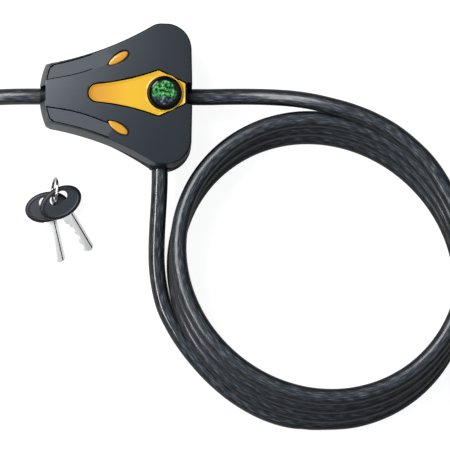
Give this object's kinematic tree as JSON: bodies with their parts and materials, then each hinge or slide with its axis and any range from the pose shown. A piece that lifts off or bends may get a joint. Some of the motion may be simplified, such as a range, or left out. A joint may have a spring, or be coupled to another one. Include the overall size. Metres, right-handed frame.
{
  "type": "adjustable cable lock",
  "caption": "Adjustable cable lock: moulded body with a keyed wedge-jaw grip, coiled vinyl-coated steel cable and keys on a ring.",
  "frame": {"origin": "middle of the lock body's flat rear face, on the plane of the cable channel's axis", "axes": "+X along the cable channel towards the entry port, +Y towards the keyway, +Z out of the front face"},
  "size_m": [0.2749, 0.1976, 0.0338],
  "materials": {
    "shell_plastic": "fine satin texture",
    "label_plastic": "satin",
    "eye_plastic": "gloss",
    "badge_plastic": "gloss",
    "badge_dome": "clear domed resin",
    "cable_vinyl": "gloss",
    "black_plastic": "satin",
    "zinc_casting": "as cast",
    "steel": "satin",
    "nickel": "polished",
    "brass": "satin"
  },
  "bodies": {
    "housing": {"front_shell": "shell_plastic", "rear_shell": "shell_plastic", "label_inlay": "label_plastic", "badge_rim": "badge_plastic", "badge_lens": "badge_dome", "eye_insert_upper": "eye_plastic", "eye_insert_lower": "eye_plastic", "cover_screws": "steel", "lock_case": "zinc_casting", "case_cover": "steel", "case_rivets": "steel", "port_bush_left": "black_plastic", "port_bush_right": "black_plastic", "exit_collar": "black_plastic", "cylinder_barrel": "brass", "barrel_pin": "steel", "jaw_spring": "steel", "cable_ferrule": "steel", "ferrule_pin": "steel", "cable_anchor": "cable_vinyl", "cable_lead": "cable_vinyl", "cable_coil": "cable_vinyl", "cable_return": "cable_vinyl", "cable_through": "cable_vinyl", "cable_tail": "cable_vinyl", "cable_end_cap": "black_plastic"},
    "plug": {"key_plug": "brass", "wafers": "brass", "wafer_springs": "steel", "plug_clip": "steel", "drive_cam": "steel"},
    "carriage": {"jaw_carriage": "zinc_casting", "spring_washer": "steel"},
    "upper_jaw": {"jaw_upper": "steel"},
    "lower_jaw": {"jaw_lower": "steel"},
    "ring": {"key_ring": "nickel"},
    "front_key": {"key_bow_front": "black_plastic", "key_blade_front": "nickel"},
    "rear_key": {"key_bow_rear": "black_plastic", "key_blade_rear": "nickel"}
  },
  "joints": [
    {"name": "plug_turn", "type": "hinge", "parent": "housing", "child": "plug", "pos_m": [0.0212, 0.02, 0.014], "axis": [0, -1, 0], "range_deg": [0, 90]},
    {"name": "carriage_slide", "type": "slide", "parent": "housing", "child": "carriage", "axis": [-1, 0, 0], "range_m": [0, 0.00425], "deforming": ["jaw_spring"]},
    {"name": "upper_jaw_slide", "type": "slide", "parent": "housing", "child": "upper_jaw", "axis": [-0.9903, 0.1392, 0], "range_m": [0, 0.0043]},
    {"name": "lower_jaw_slide", "type": "slide", "parent": "housing", "child": "lower_jaw", "axis": [-0.9903, -0.1392, 0], "range_m": [0, 0.0043]},
    {"name": "ring_lift", "type": "slide", "parent": "housing", "child": "ring", "axis": [0, 0, 1], "range_m": [0, 0.06]},
    {"name": "front_key_fan", "type": "hinge", "parent": "ring", "child": "front_key", "pos_m": [-0.03035, -0.05205, 0.00786], "axis": [-0.1223, 0.2003, -0.9721], "range_deg": [-24, 18]},
    {"name": "rear_key_fan", "type": "hinge", "parent": "ring", "child": "rear_key", "pos_m": [-0.03121, -0.05075, 0.00333], "axis": [-0.0171, 0.0739, -0.9971], "range_deg": [0, 50]}
  ],
  "couplings": [
    {"joint": "carriage_slide", "follows": "plug_turn", "m_per_rad": 0.0027},
    {"joint": "upper_jaw_slide", "follows": "plug_turn", "m_per_rad": 0.0027265},
    {"joint": "lower_jaw_slide", "follows": "plug_turn", "m_per_rad": 0.0027265}
  ]
}
